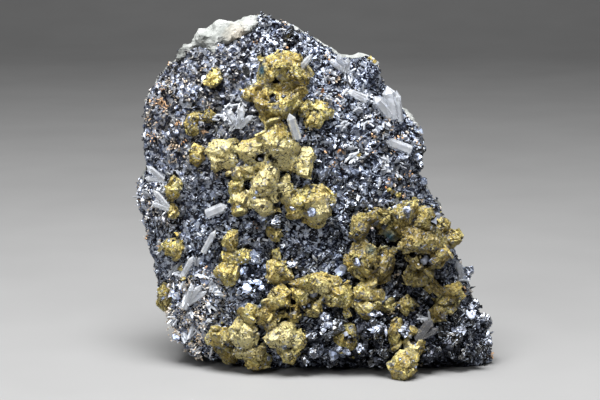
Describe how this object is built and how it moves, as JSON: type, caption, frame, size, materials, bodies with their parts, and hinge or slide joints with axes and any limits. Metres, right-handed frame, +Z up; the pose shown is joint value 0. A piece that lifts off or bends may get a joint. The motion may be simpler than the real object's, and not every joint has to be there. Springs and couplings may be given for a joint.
{
  "type": "chalcopyrite specimen",
  "caption": "Upright rock plate crusted with black sphalerite and studded with brassy chalcopyrite crystals and clear quartz prisms, on a flat foot.",
  "frame": {"origin": "on the floor under the middle of the whole specimen's box", "axes": "+Z up, the crystalled face towards -Y, +X to the right as seen from the front"},
  "size_m": [0.1064, 0.0492, 0.1055],
  "materials": {
    "rock": "rough broken rock",
    "sphalerite": "black, with a near-metallic shine on its crystal faces",
    "chalcopyrite": "dull brassy yellow, rough and pitted, tarnished in places",
    "quartz": "clear to milky crystal"
  },
  "bodies": {
    "root": {"rock": "rock", "sphalerite_crust": "sphalerite", "quartz_edge": "quartz", "quartz_pair": "quartz", "quartz_blade": "quartz", "quartz_needle": "quartz", "quartz_fan_top": "quartz", "quartz_long_right": "quartz", "quartz_left": "quartz", "quartz_left_high": "quartz", "quartz_left_low": "quartz", "quartz_fan_low": "quartz", "quartz_diagonal_low": "quartz", "quartz_diagonal": "quartz", "quartz_shoulder": "quartz", "quartz_spike": "quartz", "quartz_low_right": "quartz", "chalcopyrite_crown": "chalcopyrite", "chalcopyrite_crown_side": "chalcopyrite", "chalcopyrite_shoulder": "chalcopyrite", "chalcopyrite_shoulder_bead": "chalcopyrite", "chalcopyrite_arc_left": "chalcopyrite", "chalcopyrite_arc": "chalcopyrite", "chalcopyrite_arc_foot": "chalcopyrite", "chalcopyrite_centre_top": "chalcopyrite", "chalcopyrite_centre": "chalcopyrite", "chalcopyrite_shield": "chalcopyrite", "chalcopyrite_pillar": "chalcopyrite", "chalcopyrite_pillar_foot": "chalcopyrite", "chalcopyrite_bead_centre": "chalcopyrite", "chalcopyrite_step": "chalcopyrite", "chalcopyrite_bead_left": "chalcopyrite", "chalcopyrite_bead_upper_left": "chalcopyrite", "chalcopyrite_bead_lower_left": "chalcopyrite", "chalcopyrite_left_edge": "chalcopyrite", "chalcopyrite_foot_left": "chalcopyrite", "chalcopyrite_foot_star": "chalcopyrite", "chalcopyrite_foot_dome": "chalcopyrite", "chalcopyrite_foot_broad": "chalcopyrite", "chalcopyrite_wedge": "chalcopyrite", "chalcopyrite_wedge_side": "chalcopyrite", "chalcopyrite_cone": "chalcopyrite", "chalcopyrite_bridge": "chalcopyrite", "chalcopyrite_block": "chalcopyrite", "chalcopyrite_overhang": "chalcopyrite", "chalcopyrite_underhang": "chalcopyrite", "chalcopyrite_right_foot": "chalcopyrite", "chalcopyrite_small_right": "chalcopyrite", "chalcopyrite_strip": "chalcopyrite", "chalcopyrite_toe": "chalcopyrite", "chalcopyrite_low_square": "chalcopyrite"}
  },
  "joints": []
}
